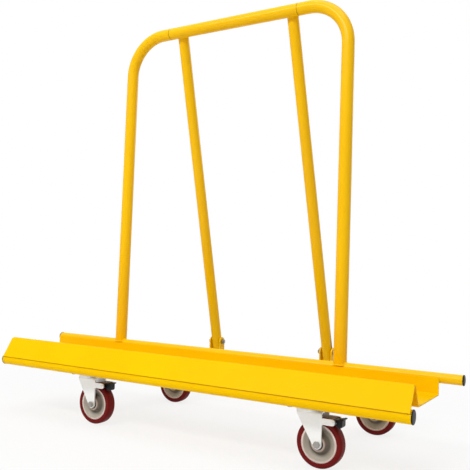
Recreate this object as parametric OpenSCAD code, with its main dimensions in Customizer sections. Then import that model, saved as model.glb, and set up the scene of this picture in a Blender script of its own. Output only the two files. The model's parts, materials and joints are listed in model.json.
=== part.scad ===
// Panel cart: a folded sheet tray on two round rails, a tubular A-frame behind it
// and four braked swivel casters. Millimetres, X along the cart, -Y the loading side,
// Z up from the floor, origin on the floor under the middle of the cart.

/* [Tray] */
// Length of the folded sheet tray
tray_len = 1362; // [1200:2:1500]
// Flat depth of the deck between the lip's foot and the wall
deck_depth = 181; // [150:1:240]
// Height of the lip's ridge above the deck
lip_h = 54; // [40:1:80]
// Horizontal run of the lip's inner slope
lip_run = 29; // [20:1:60]
// Distance of the ridge behind the front rail's axis
lip_setback = 22.5; // [18:0.5:40]
// Overlap of the lip's lower edge past its touch line on the front rail
lip_overlap = 0; // [0:0.5:10]
// Height of the rear rail's axis above the deck
wall_h = 40; // [25:0.5:60]
// Height of the wall's edge above the rear rail's axis
wall_overlap = 3; // [0:0.5:8]
// Thickness of the tray sheet
sheet_t = 3; // [2:0.5:5]
// Bend radius of the tray, to the middle of the sheet
sheet_bend_r = 3.5; // [3:0.5:10]
// Radius of the rounded ends of the ridge
ridge_end_r = 5; // [2:0.5:20]

/* [Rails] */
// Outer diameter of the front rail and the base rail
tube_d = 33.7; // [31:0.1:38]
// Wall of the front rail and the base rail
tube_t = 2.6; // [2:0.1:4]
// Outer diameter of the rear rail
rail_d = 26.9; // [24:0.1:30]
// Wall of the rear rail
rail_t = 2.3; // [1.5:0.1:3]
// Length of the front rail's tube
front_rail_len = 1366; // [1200:2:1520]
// Length of the rear rail's tube
rear_rail_len = 1422; // [1200:2:1560]
// How far the rear rail's middle lies to the right of the tray's middle
rear_rail_shift = 28; // [0:1:60]
// Length of the base rail's tube
base_rail_len = 860; // [840:2:1100]
// Distance from the front rail to the base rail, axis to axis
base_depth = 588; // [560:1:640]
// Drop of the front rail's axis below the top of the cross members
front_rail_drop = 13; // [10:0.5:16]
// Drop of the base rail's axis below the top of the cross members
base_rail_drop = 18; // [12:0.5:22]

/* [End caps] */
// How far a cap's flange stands proud of its tube all round
cap_lip = 0.8; // [0.3:0.1:2]
// Thickness of a cap's flange
cap_flange_t = 2; // [1:0.5:4]
// Rise of a cap's dome
cap_dome_h = 2; // [1:0.5:5]
// Depth of a cap's plug inside its tube
cap_plug_len = 18; // [8:1:40]

/* [Cross members] */
// Width of a cross member
beam_w = 50; // [40:1:60]
// Height of a cross member
beam_h = 30; // [24:1:40]
// Wall of a cross member
beam_t = 2.5; // [2:0.5:4]
// How far a cross member's ends stop short of the rails' axes
beam_gap = 8; // [4:0.5:12]
// Width of a rear rail post
post_w = 24; // [16:1:26]
// Wall of a rear rail post
post_t = 2.5; // [2:0.5:4]

/* [Arch] */
// Outer diameter of the uprights and the top bar
arch_d = 38; // [34:0.5:42]
// Wall of the uprights, the top bar and the struts
arch_t = 2.6; // [2:0.1:4]
// Distance between the uprights, axis to axis
arch_w = 806; // [740:2:880]
// Height of the top bar's axis above the rear rail's axis
arch_h = 1058; // [800:0.5:1300]
// How far the top bar lies behind the rear rail
arch_setback = 15.5; // [0:0.5:90]
// Bend radius of the uprights, to the tube's axis
arch_bend_r = 128; // [90:1:130]
// Length of the top bar between its two joints
top_bar_len = 480; // [440:2:490]
// Height of an upright's lower end above the rear rail's axis
upright_seat = 6; // [2:0.5:10]
// Reach of a spigot to each side of a top bar joint
bar_spigot_reach = 34; // [25:1:38]
// Distance of a set bolt outside its top bar joint
bar_bolt_off = 18; // [12:1:24]
// Length of a spigot inside an upright's foot
foot_spigot_len = 90; // [60:1:140]
// Height of a foot's set bolt above the rear rail's axis
foot_bolt_h = 45; // [35:1:55]
// Wall of the spigots
spigot_t = 3; // [2:0.5:5]

/* [Struts] */
// Outer diameter of the struts
strut_d = 36; // [32:0.5:40]
// Distance between the struts at the top bar, axis to axis
strut_top_span = 416; // [340:2:470]
// Distance between the struts at their foot bolts, axis to axis
strut_foot_span = 444; // [360:2:480]
// How far a strut's axis meets the top bar behind its axis
strut_setback = 23; // [0:1:26]
// Height of a strut's foot bolt above the base rail's axis
strut_bolt_rise = 54; // [46:1:80]
// How far a strut's foot bolt lies ahead of the base rail's axis
strut_inset = 8.5; // [7:0.5:12]
// Length of a strut below its foot bolt
strut_tail = 30; // [18:1:31]
// Thickness of the closed top end of a strut
strut_end_t = 4; // [2:0.5:8]
// Thickness of a bracket ear
ear_t = 4; // [3:0.5:8]
// Radius of a bracket ear's round end
ear_r = 16; // [12:0.5:16]
// Diameter of the struts' foot bolts
strut_bolt_d = 10; // [8:1:12]

/* [Wheels] */
// Diameter of a wheel over its tread
wheel_d = 127; // [120:1:135]
// Width of the tread
tread_w = 32; // [26:1:36]
// Thickness of the tread
tread_t = 14; // [8:0.5:16]
// Radius of the tread's shoulders
tread_shoulder_r = 6; // [3:0.5:8]
// Width of the core's rim
rim_w = 29; // [24:0.5:36]
// Thickness of the core's rim
rim_t = 6; // [4:0.5:8]
// Thickness of the core's web at its thinnest
web_t = 13; // [8:0.5:18]
// Length of the hub
hub_len = 40; // [36:1:46]
// Radius of the hub
hub_r = 19; // [17:0.5:24]
// Radius of the hub's bore between the bearings
hub_bore_r = 10; // [8:0.5:12]
// Outer diameter of a wheel bearing
bearing_d = 28; // [24:1:32]
// Width of a wheel bearing
bearing_w = 8; // [6:0.5:10]

/* [Forks] */
// Distance of the axle behind the kingpin
trail = 37; // [30:1:42]
// Thickness of the fork's plate
fork_t = 4; // [3:0.5:5]
// Bend radius of the fork's crown, to the middle of the plate
fork_bend_r = 7; // [5:0.5:9]
// Room between the tread and the crown
fork_clear = 16; // [12:0.5:22]
// Radius of the fork's round ends about the axle
fork_eye_r = 12; // [10:0.5:15]
// Reach of the crown ahead of the kingpin
crown_front = 21; // [16:1:26]
// Height of the upright front edge of a fork's leg below the crown
leg_front_h = 10; // [4:1:20]
// Radius of the crown's round seat
crown_r = 31; // [29:0.5:34]
// Diameter of the axle bolt
axle_d = 10; // [8:1:12]
// Wall of the sleeve on the axle
sleeve_t = 1; // [0.8:0.1:2]
// Thickness of the washers beside the hub
washer_t = 1.5; // [1:0.1:3]
// Outer radius of the washers beside the hub
washer_r = 10; // [9:0.5:12]

/* [Swivels] */
// Distance between the casters along the cart, kingpin to kingpin
caster_span_x = 772; // [700:2:790]
// Distance between the casters across the cart, kingpin to kingpin
caster_span_y = 419.5; // [400:0.5:430]
// Distance of the front kingpins behind the front rail's axis
caster_setback = 82.5; // [76:0.5:90]
// Gap between the crown and the top plate
race_h = 7.5; // [7:0.1:10]
// Thickness of the two ball tracks
track_t = 2.4; // [2:0.1:3]
// Inner radius of the ball tracks
track_in_r = 18; // [16:0.5:19]
// Outer radius of the ball tracks
track_out_r = 29; // [28:0.5:29]
// Radius of the ring of balls
ball_ring_r = 23.5; // [22:0.5:25]
// Number of balls in one swivel
ball_count = 10; // [6:1:16]
// Diameter of the kingpin
kingpin_d = 12; // [10:1:16]
// Diameter of the kingpin's head
kingpin_head_d = 22; // [18:1:28]
// Height of the kingpin's head
kingpin_head_h = 6; // [4:0.5:8]
// Length of a top plate, along the cart
plate_len = 105; // [100:1:110]
// Width of a top plate, across the cart
plate_w = 80; // [74:1:86]
// Thickness of a top plate
plate_t = 4; // [3:0.5:6]
// Corner radius of the top plates and pads
plate_corner_r = 8; // [3:0.5:12]
// How far a pad stands out around its top plate
pad_margin = 4; // [1:0.5:8]
// Thickness of a pad
pad_t = 4; // [3:0.5:8]
// Distance between a top plate's bolts along the cart
plate_bolt_x = 80; // [76:1:84]
// Distance between a top plate's bolts across the cart
plate_bolt_y = 55; // [50:1:60]
// Diameter of the caster bolts and set bolts
bolt_d = 8; // [6:1:10]

/* [Brakes] */
// Distance of the pedal's pin behind the axle
pin_back = 39.5; // [38:0.5:42]
// Height of the pedal's pin above the axle
pin_rise = 60; // [59:0.5:64]
// Diameter of the pedal's pin
pin_d = 6; // [5:0.5:7]
// Radius of the fork's ears about the pin
brake_ear_r = 8; // [6:0.5:9]
// Radius of the fillet under the fork's ears
brake_fillet_r = 5; // [2:0.5:8]
// Radius of the pedal's barrel
barrel_r = 6.5; // [5:0.25:6.5]
// Length of the pedal from its pin to its tip
pedal_len = 28; // [26:1:36]
// Thickness of the pedal's tongue
tongue_t = 4; // [3:0.5:6]
// Width of the pedal's tongue
tongue_w = 26; // [18:1:32]
// Upward tilt of the pedal's tongue, in degrees
tongue_tilt = 14; // [6:1:20]
// Distance of the shoe behind the pin
shoe_back = 15; // [14:0.5:18]
// Drop of the shoe's centre below the pin
shoe_drop = 7; // [5:0.25:7]
// Radius of the shoe
shoe_r = 7.5; // [5:0.25:7.5]
// Width of the shoe
shoe_w = 22; // [16:1:28]

/* [Hidden] */
$fn = 96;

// Clearances
weld_gap = 0.1;
slip = 0.1;
run_fit = 0.05;
wheel_play = 0.3;
pedal_play = 0.5;
ear_play = 0.3;
ball_play = 0.1;
ball_seat = 0.7;
hole_play = 0.2;
cut_over = 1;
arc_steps = 8;

// Proportions of hexagon heads, as for metric bolts
head_af_ratio = 1.625;
head_h_ratio = 0.65;
nut_h_ratio = 0.8;
axle_af_ratio = 1.6;
thread_over_ratio = 0.25;

// Heights of the stack from the floor up
axle_z = wheel_d / 2;
crown_z = wheel_d + fork_clear;
crown_top = crown_z + fork_t;
plate_z = crown_top + race_h;
pad_z = plate_z + plate_t;
beam_z = pad_z + pad_t;
beam_top = beam_z + beam_h;
deck_top = beam_top + sheet_t;
front_rail_z = beam_top - front_rail_drop;
base_rail_z = beam_top - base_rail_drop;
rear_rail_z = deck_top + wall_h;
top_bar_z = rear_rail_z + arch_h;

// Places across the cart, from the loading side to the back
front_rail_y = -base_depth / 2;
base_rail_y = base_depth / 2;
ridge_y = front_rail_y + lip_setback;
deck_front_y = ridge_y + lip_run;
wall_y = deck_front_y + deck_depth;
rear_rail_y = wall_y + sheet_t + weld_gap + rail_d / 2;
top_bar_y = rear_rail_y + arch_setback;
front_kingpin_y = front_rail_y + caster_setback;
rear_kingpin_y = front_kingpin_y + caster_span_y;

// Places along the cart: the rear rail stands out on the right, so the tray lies left of the origin
left_reach = max(front_rail_len / 2, rear_rail_len / 2 - rear_rail_shift);
right_reach = max(front_rail_len / 2, rear_rail_len / 2 + rear_rail_shift);
frame_x = (left_reach - right_reach) / 2;

// The arch's own plane
arch_len = norm([arch_h, arch_setback]);
arch_lean = atan2(arch_setback, arch_h);
leg_top = arch_len - arch_bend_r;
tube_in_d = tube_d - 2 * tube_t;
rail_in_d = rail_d - 2 * rail_t;
arch_in_d = arch_d - 2 * arch_t;
spigot_d = arch_in_d - 2 * slip;

// The struts, from their foot bolts to the top bar
strut_bolt_z = base_rail_z + strut_bolt_rise;
strut_rise = top_bar_z - strut_bolt_z;
strut_foot_y = base_rail_y - strut_inset;
strut_run = strut_foot_y - top_bar_y - strut_setback;
strut_spread = (strut_foot_span - strut_top_span) / 2;
strut_len = norm([strut_rise, strut_run, strut_spread]);
strut_lean = atan2(strut_run, strut_rise);
strut_splay = asin(strut_spread / strut_len);
ear_in = strut_d / 2 + strut_tail * abs(tan(strut_splay)) + ear_play;
ear_out = ear_in + ear_t;

// The fork, its axle and its wheel
fork_in = hub_len / 2 + washer_t + wheel_play;
fork_out = fork_in + fork_t;
sleeve_in_r = axle_d / 2 + run_fit;
sleeve_out_r = sleeve_in_r + sleeve_t;
core_r = wheel_d / 2 - tread_t;
rim_in_r = core_r - rim_t;
web_mid_r = (rim_in_r + hub_r) / 2;
pin_z = axle_z + pin_rise;
pin_x = trail + pin_back;
ball_d = race_h - 2 * ball_play - 2 * ball_seat;
ball_z = crown_top + race_h / 2;

// Each caster: name, kingpin place along and across the cart
CASTERS = [
    ["front_left", -caster_span_x / 2, front_kingpin_y],
    ["front_right", caster_span_x / 2, front_kingpin_y],
    ["rear_left", -caster_span_x / 2, rear_kingpin_y],
    ["rear_right", caster_span_x / 2, rear_kingpin_y]
];
CASTER_PIECES = ["top_plate", "fork", "axle", "tread", "core", "bearings", "brake_pedal", "pedal_pin"];

// Colours
YELLOW = [0.98, 0.78, 0.03];
BLACK = [0.1, 0.1, 0.11];
ZINC = [0.85, 0.86, 0.85];
STEEL = [0.6, 0.61, 0.62];
MAROON = [0.42, 0.1, 0.1];
STONE = [0.55, 0.52, 0.47];

// Plane geometry
function unit(v) = v / norm(v);
function left_of(v) = [-v[1], v[0]];
function turned(v, a) = [v[0] * cos(a) - v[1] * sin(a), v[0] * sin(a) + v[1] * cos(a)];
function turn_angle(a, b) = atan2(a[0] * b[1] - a[1] * b[0], a * b);

// Where the line from p touches a circle, on its left (side = 1) or its right (side = -1)
function touch_point(p, c, r, side) =
    let (d = norm(c - p))
    p + turned(unit(c - p), side * asin(r / d)) * sqrt(d * d - r * r);

// One bend of a folded sheet: points at offset o from its middle line
function bend_points(before, corner, after, r, o) =
    let (d0 = unit(corner - before), d1 = unit(after - corner))
    let (a = turn_angle(d0, d1), s = sign(a))
    let (centre = corner - d0 * r * tan(abs(a) / 2) + left_of(d0) * s * r)
    [for (k = [0 : arc_steps]) centre - turned(left_of(d0), a * k / arc_steps) * (s * r - o)];

// One side of a folded sheet, at offset o from its middle line
function sheet_side(path, r, o) =
    let (last = len(path) - 1)
    let (first_dir = unit(path[1] - path[0]), last_dir = unit(path[last] - path[last - 1]))
    concat(
        [path[0] + left_of(first_dir) * o],
        [for (i = [1 : last - 1]) each bend_points(path[i - 1], path[i], path[i + 1], r, o)],
        [path[last] + left_of(last_dir) * o]
    );

// Outline of a folded sheet of thickness t along a middle line
function sheet_outline(path, r, t) =
    let (far_side = sheet_side(path, r, -t / 2))
    concat(sheet_side(path, r, t / 2), [for (i = [len(far_side) - 1 : -1 : 0]) far_side[i]]);

// Shapes that repeat
module along_x(length) {
    rotate([90, 0, 90])
        linear_extrude(length, center = true)
            children();
}

module along_y(length) {
    rotate([90, 0, 0])
        linear_extrude(length, center = true)
            children();
}

module ring(outer_d, inner_d) {
    difference() {
        circle(d = outer_d);
        circle(d = inner_d);
    }
}

module tube(outer_d, wall, length) {
    difference() {
        cylinder(d = outer_d, h = length);
        translate([0, 0, -cut_over])
            cylinder(d = outer_d - 2 * wall, h = length + 2 * cut_over);
    }
}

module rod_x(r, length) {
    rotate([0, 90, 0])
        cylinder(r = r, h = length, center = true);
}

module rod_y(r, length) {
    rotate([90, 0, 0])
        cylinder(r = r, h = length, center = true);
}

module hexagon(across_flats, h) {
    cylinder(d = across_flats / cos(30), h = h, $fn = 6);
}

module nut(d, h) {
    difference() {
        hexagon(d * head_af_ratio, h);
        translate([0, 0, -cut_over])
            cylinder(d = d, h = h + 2 * cut_over);
    }
}

// A bolt along +Z, with the underside of its head at the origin
module bolt(d, length) {
    translate([0, 0, -d * head_h_ratio])
        hexagon(d * head_af_ratio, d * head_h_ratio);
    cylinder(d = d, h = length);
}

module box_section(w, h, t) {
    difference() {
        square([w, h], center = true);
        square([w - 2 * t, h - 2 * t], center = true);
    }
}

module rounded_plate(length, w, r, t) {
    linear_extrude(t) {
        square([length - 2 * r, w], center = true);
        square([length, w - 2 * r], center = true);
        for (x = [-1, 1], y = [-1, 1])
            translate([x * (length / 2 - r), y * (w / 2 - r)])
                circle(r);
    }
}

module both_ends() {
    for (side = [0, 1])
        mirror([side, 0, 0])
            children();
}

module at_arch() {
    translate([0, rear_rail_y, rear_rail_z])
        rotate([-arch_lean, 0, 0])
            children();
}

// The middle of the top bar, one bend above the straight legs
module at_top_bar() {
    translate([0, 0, leg_top])
        translate([0, 0, arch_bend_r])
            children();
}

module at_strut_foot() {
    translate([strut_foot_span / 2, strut_foot_y, strut_bolt_z])
        children();
}

// The tray's middle, which every piece is drawn about
module at_frame() {
    translate([frame_x, 0, 0])
        children();
}

module at_caster(caster) {
    translate([caster[1], caster[2], 0])
        children();
}

module at_wheel() {
    translate([trail, 0, axle_z])
        children();
}

module at_plate_bolts() {
    for (x = [-1, 1], y = [-1, 1])
        translate([x * plate_bolt_x / 2, y * plate_bolt_y / 2, 0])
            children();
}

// The rails, as solid bars, for coping what is welded to them
module front_rail_bar() {
    translate([0, front_rail_y, front_rail_z])
        rod_x(tube_d / 2 + weld_gap, front_rail_len);
}

module rear_rail_bar() {
    translate([rear_rail_shift, rear_rail_y, rear_rail_z])
        rod_x(rail_d / 2 + weld_gap, rear_rail_len);
}

module base_rail_bar() {
    translate([0, base_rail_y, base_rail_z])
        rod_x(tube_d / 2 + weld_gap, base_rail_len);
}

module top_bar_bar() {
    translate([0, top_bar_y, top_bar_z])
        rod_x(arch_d / 2 + weld_gap, arch_w - 2 * arch_bend_r);
}

// Chassis
module front_rail() {
    color(YELLOW)
        translate([0, front_rail_y, front_rail_z])
            along_x(front_rail_len)
                ring(tube_d, tube_in_d);
}

module rear_rail() {
    color(YELLOW)
        translate([rear_rail_shift, rear_rail_y, rear_rail_z])
            along_x(rear_rail_len)
                ring(rail_d, rail_in_d);
}

module base_rail() {
    color(YELLOW)
        translate([0, base_rail_y, base_rail_z])
            along_x(base_rail_len)
                ring(tube_d, tube_in_d);
}

// Lip, deck and wall, folded from one sheet
module tray() {
    deck_mid_z = deck_top - sheet_t / 2;
    wall_mid_y = wall_y + sheet_t / 2;
    rail = [front_rail_y, front_rail_z];
    rail_r = tube_d / 2 + weld_gap + sheet_t / 2;
    top = [ridge_y, deck_top + lip_h];
    front_dir = unit(touch_point(top, rail, rail_r, -1) - top);
    back_dir = unit([deck_front_y, deck_mid_z] - top);
    half_angle = acos(front_dir * back_dir) / 2;
    ridge = top + [0, sheet_bend_r / sin(half_angle) - sheet_bend_r - sheet_t / 2];
    touch = touch_point(ridge, rail, rail_r, -1);
    lip_edge = touch + unit(touch - ridge) * lip_overlap;
    path = [
        lip_edge,
        ridge,
        [deck_front_y, deck_mid_z],
        [wall_mid_y, deck_mid_z],
        [wall_mid_y, rear_rail_z + wall_overlap]
    ];
    color(YELLOW)
        difference() {
            along_x(tray_len)
                polygon(sheet_outline(path, sheet_bend_r, sheet_t));
            both_ends()
                translate([tray_len / 2 - ridge_end_r, ridge_y, deck_top + lip_h - ridge_end_r])
                    along_y(lip_setback + lip_run)
                        difference() {
                            square(ridge_end_r + sheet_t);
                            circle(ridge_end_r);
                        }
        }
}

module cross_member(x) {
    color(YELLOW)
        difference() {
            translate([x, 0, beam_z + beam_h / 2])
                along_y(base_depth - 2 * beam_gap)
                    box_section(beam_w, beam_h, beam_t);
            front_rail_bar();
            base_rail_bar();
        }
}

module left_cross_member() {
    cross_member(-caster_span_x / 2);
}

module right_cross_member() {
    cross_member(caster_span_x / 2);
}

module caster_pads() {
    pad_len = plate_len + 2 * pad_margin;
    pad_w = plate_w + 2 * pad_margin;
    color(YELLOW)
        for (caster = CASTERS)
            at_caster(caster)
                difference() {
                    translate([0, 0, pad_z])
                        rounded_plate(pad_len, pad_w, plate_corner_r, pad_t);
                    at_plate_bolts()
                        translate([0, 0, pad_z - cut_over])
                            cylinder(d = bolt_d + hole_play, h = pad_t + 2 * cut_over);
                }
}

module rail_posts() {
    post_h = rear_rail_z - beam_top;
    color(YELLOW)
        difference() {
            both_ends()
                translate([caster_span_x / 2, rear_rail_y, beam_top])
                    linear_extrude(post_h)
                        box_section(post_w, post_w, post_t);
            rear_rail_bar();
        }
}

module strut_brackets() {
    color(YELLOW)
        difference() {
            both_ends()
                for (side = [-1, 1])
                    translate([strut_foot_span / 2 + side * (ear_in + ear_t / 2), base_rail_y, base_rail_z])
                        along_x(ear_t)
                            difference() {
                                union() {
                                    translate([-strut_inset - ear_r, 0])
                                        square([2 * ear_r, strut_bolt_rise]);
                                    translate([-strut_inset, strut_bolt_rise])
                                        circle(ear_r);
                                }
                                translate([-strut_inset, strut_bolt_rise])
                                    circle(d = strut_bolt_d + hole_play);
                            }
            base_rail_bar();
        }
}

// Arch
module set_bolt_hole() {
    rotate([-90, 0, 0])
        cylinder(d = bolt_d + hole_play, h = arch_d);
}

module at_foot_bolt() {
    translate([arch_w / 2, 0, foot_bolt_h])
        children();
}

module at_bar_bolt() {
    at_top_bar()
        translate([top_bar_len / 2 + bar_bolt_off, 0, 0])
            children();
}

module upright() {
    bend_x = arch_w / 2 - arch_bend_r;
    color(YELLOW)
        difference() {
            at_arch()
                difference() {
                    union() {
                        translate([arch_w / 2, 0, upright_seat])
                            tube(arch_d, arch_t, leg_top - upright_seat);
                        translate([bend_x, 0, leg_top])
                            rotate([90, 0, 0])
                                rotate_extrude(angle = 90)
                                    translate([arch_bend_r, 0])
                                        ring(arch_d, arch_in_d);
                        at_top_bar()
                            translate([(bend_x + top_bar_len / 2) / 2, 0, 0])
                                along_x(bend_x - top_bar_len / 2)
                                    ring(arch_d, arch_in_d);
                    }
                    at_foot_bolt()
                        set_bolt_hole();
                    at_bar_bolt()
                        set_bolt_hole();
                }
            rear_rail_bar();
        }
}

module right_upright() {
    upright();
}

module left_upright() {
    mirror([1, 0, 0])
        upright();
}

module top_bar() {
    color(YELLOW)
        at_arch()
            at_top_bar()
                along_x(top_bar_len)
                    ring(arch_d, arch_in_d);
}

module bar_spigots() {
    color(STEEL)
        at_arch()
            both_ends()
                difference() {
                    at_top_bar()
                        translate([top_bar_len / 2, 0, 0])
                            along_x(2 * bar_spigot_reach)
                                ring(spigot_d, spigot_d - 2 * spigot_t);
                    at_bar_bolt()
                        set_bolt_hole();
                }
}

module foot_spigots() {
    color(STEEL)
        difference() {
            at_arch()
                both_ends()
                    difference() {
                        translate([arch_w / 2, 0, upright_seat])
                            tube(spigot_d, spigot_t, foot_spigot_len - upright_seat);
                        at_foot_bolt()
                            set_bolt_hole();
                    }
            rear_rail_bar();
        }
}

// Each set bolt's head sits on the back of its tube
module set_bolts() {
    grip = arch_t + slip + spigot_t;
    color(ZINC)
        at_arch()
            both_ends() {
                at_foot_bolt()
                    translate([0, arch_d / 2, 0])
                        rotate([90, 0, 0])
                            bolt(bolt_d, grip + bolt_d * thread_over_ratio);
                at_bar_bolt()
                    translate([0, arch_d / 2, 0])
                        rotate([90, 0, 0])
                            bolt(bolt_d, grip + bolt_d * thread_over_ratio);
            }
}

// Struts
module strut() {
    color(YELLOW)
        difference() {
            at_strut_foot()
                rotate([strut_lean, 0, 0])
                    rotate([0, -strut_splay, 0]) {
                        translate([0, 0, -strut_tail])
                            tube(strut_d, arch_t, strut_len + strut_tail - strut_end_t);
                        translate([0, 0, strut_len - strut_end_t])
                            cylinder(d = strut_d, h = strut_end_t);
                    }
            top_bar_bar();
            at_strut_foot()
                rod_x(strut_bolt_d / 2 + hole_play / 2, strut_d + 2 * cut_over);
        }
}

module right_strut() {
    strut();
}

module left_strut() {
    mirror([1, 0, 0])
        strut();
}

// A strut bolt's head is on the outer ear and its nut on the inner one
module strut_bolts() {
    nut_h = strut_bolt_d * nut_h_ratio;
    color(ZINC)
        both_ends()
            at_strut_foot()
                translate([ear_out, 0, 0])
                    rotate([0, -90, 0])
                        bolt(strut_bolt_d, 2 * ear_out + nut_h + strut_bolt_d * thread_over_ratio);
}

module strut_nuts() {
    color(ZINC)
        both_ends()
            at_strut_foot()
                translate([-ear_out, 0, 0])
                    rotate([0, -90, 0])
                        nut(strut_bolt_d, strut_bolt_d * nut_h_ratio);
}

// End caps: a flange, a low dome outside and a hollow plug inside the tube
module cap(outer_d, inner_d) {
    flange_r = outer_d / 2 + cap_lip;
    plug_r = inner_d / 2 - slip;
    plug = [[0, -cap_plug_len], [plug_r, -cap_plug_len], [plug_r, 0], [flange_r, 0]];
    dome = [for (k = [0 : arc_steps]) [
        flange_r * cos(k * 90 / arc_steps),
        cap_flange_t + cap_dome_h * sin(k * 90 / arc_steps)
    ]];
    color(BLACK)
        rotate([0, 90, 0])
            difference() {
                rotate_extrude()
                    polygon(concat(plug, dome));
                translate([0, 0, -cap_plug_len - cut_over])
                    cylinder(r = plug_r - cap_flange_t, h = cap_plug_len + cut_over);
            }
}

module front_rail_caps() {
    both_ends()
        translate([front_rail_len / 2, front_rail_y, front_rail_z])
            cap(tube_d, tube_in_d);
}

module rear_rail_caps() {
    translate([rear_rail_shift, rear_rail_y, rear_rail_z])
        both_ends()
            translate([rear_rail_len / 2, 0, 0])
                cap(rail_d, rail_in_d);
}

module base_rail_caps() {
    both_ends()
        translate([base_rail_len / 2, base_rail_y, base_rail_z])
            cap(tube_d, tube_in_d);
}

// Casters: what is fixed to the cart
module caster_bolts() {
    nut_h = bolt_d * nut_h_ratio;
    color(ZINC)
        for (caster = CASTERS)
            at_caster(caster)
                at_plate_bolts()
                    translate([0, 0, plate_z])
                        bolt(bolt_d, plate_t + pad_t + nut_h + bolt_d * thread_over_ratio);
}

module caster_nuts() {
    color(ZINC)
        for (caster = CASTERS)
            at_caster(caster)
                at_plate_bolts()
                    translate([0, 0, beam_z])
                        nut(bolt_d, bolt_d * nut_h_ratio);
}

module kingpins() {
    color(STEEL)
        for (caster = CASTERS)
            at_caster(caster) {
                head_top = crown_z - wheel_play;
                translate([0, 0, head_top - kingpin_head_h])
                    cylinder(d = kingpin_head_d, h = kingpin_head_h);
                translate([0, 0, head_top])
                    cylinder(d = kingpin_d, h = pad_z - head_top);
            }
}

module swivel_balls() {
    color(STEEL)
        for (caster = CASTERS)
            at_caster(caster)
                for (k = [0 : ball_count - 1])
                    rotate([0, 0, k * 360 / ball_count])
                        translate([ball_ring_r, 0, ball_z])
                            sphere(d = ball_d);
}

// A flat ring with a groove for the balls
module ball_track(z) {
    difference() {
        translate([0, 0, z])
            linear_extrude(track_t)
                ring(2 * track_out_r, 2 * track_in_r);
        translate([0, 0, ball_z])
            rotate_extrude()
                translate([ball_ring_r, 0])
                    circle(d = ball_d + 2 * ball_play);
    }
}

module top_plate() {
    color(ZINC) {
        difference() {
            translate([0, 0, plate_z])
                rounded_plate(plate_len, plate_w, plate_corner_r, plate_t);
            translate([0, 0, plate_z - cut_over])
                cylinder(d = kingpin_d, h = plate_t + 2 * cut_over);
            at_plate_bolts()
                translate([0, 0, plate_z - cut_over])
                    cylinder(d = bolt_d + hole_play, h = plate_t + 2 * cut_over);
        }
        ball_track(plate_z - track_t);
    }
}

// Casters: what swivels and rolls
module fork_side() {
    axle = [trail, axle_z];
    front_corner = [-crown_front, crown_top - leg_front_h];
    back_x = trail + fork_eye_r;
    ear_z = pin_z - brake_ear_r;
    translate(axle)
        circle(fork_eye_r);
    polygon([
        touch_point(front_corner, axle, fork_eye_r, -1),
        front_corner,
        [-crown_front, crown_top + cut_over],
        [back_x, crown_top + cut_over],
        [back_x, axle_z],
        axle
    ]);
    translate([trail, ear_z])
        square([pin_back, 2 * brake_ear_r]);
    translate([pin_x, pin_z])
        circle(brake_ear_r);
    translate([back_x, ear_z - brake_fillet_r])
        difference() {
            square(brake_fillet_r);
            translate([brake_fillet_r, 0])
                circle(brake_fillet_r);
        }
}

module fork() {
    leg_mid = fork_in + fork_t / 2;
    crown_mid = crown_z + fork_t / 2;
    foot = axle_z - fork_eye_r - cut_over;
    path = [[-leg_mid, foot], [-leg_mid, crown_mid], [leg_mid, crown_mid], [leg_mid, foot]];
    color(ZINC)
        difference() {
            union() {
                intersection() {
                    along_x(2 * (pin_x + brake_ear_r + crown_front))
                        polygon(sheet_outline(path, fork_bend_r, fork_t));
                    along_y(2 * fork_out)
                        fork_side();
                }
                translate([0, 0, crown_z])
                    cylinder(r = crown_r, h = fork_t);
                ball_track(crown_top);
            }
            translate([0, 0, crown_z - cut_over])
                cylinder(d = kingpin_d + 2 * run_fit, h = fork_t + 2 * cut_over);
            at_wheel()
                rod_y(axle_d / 2, 2 * fork_out + 2 * cut_over);
            translate([pin_x, 0, pin_z])
                rod_y(pin_d / 2, 2 * fork_out + 2 * cut_over);
        }
}

// Bolt, nut, sleeve and two washers
module axle() {
    nut_h = axle_d * nut_h_ratio;
    head_h = axle_d * head_h_ratio;
    end_y = fork_out + nut_h + axle_d * thread_over_ratio;
    color(ZINC)
        at_wheel() {
            translate([0, -fork_out, 0])
                rotate([90, 0, 0])
                    hexagon(axle_d * axle_af_ratio, head_h);
            translate([0, -fork_out, 0])
                rotate([-90, 0, 0])
                    cylinder(d = axle_d, h = fork_out + end_y);
            translate([0, fork_out, 0])
                rotate([-90, 0, 0])
                    nut(axle_d, nut_h);
            along_y(2 * fork_in)
                ring(2 * sleeve_out_r, 2 * sleeve_in_r);
            for (side = [-1, 1])
                translate([0, side * (fork_in - washer_t / 2), 0])
                    along_y(washer_t)
                        ring(2 * washer_r, 2 * sleeve_out_r);
        }
}

module tread() {
    flat_r = wheel_d / 2 - tread_shoulder_r;
    flat_w = tread_w / 2 - tread_shoulder_r;
    seat = [[core_r, -tread_w / 2], [core_r, tread_w / 2]];
    shoulder = [for (k = [0 : arc_steps]) [
        flat_r + tread_shoulder_r * sin(k * 90 / arc_steps),
        flat_w + tread_shoulder_r * cos(k * 90 / arc_steps)
    ]];
    far_shoulder = [for (k = [arc_steps : -1 : 0]) [shoulder[k][0], -shoulder[k][1]]];
    color(MAROON)
        at_wheel()
            rotate([90, 0, 0])
                rotate_extrude()
                    polygon(concat(seat, shoulder, far_shoulder));
}

// Half thickness of the core at radius r: dished between the hub and the rim
function core_half(r) =
    let (edge = r < web_mid_r ? hub_len / 2 : rim_w / 2)
    web_t / 2 + (edge - web_t / 2) * pow((r - web_mid_r) / (web_mid_r - hub_r), 2);

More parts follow.
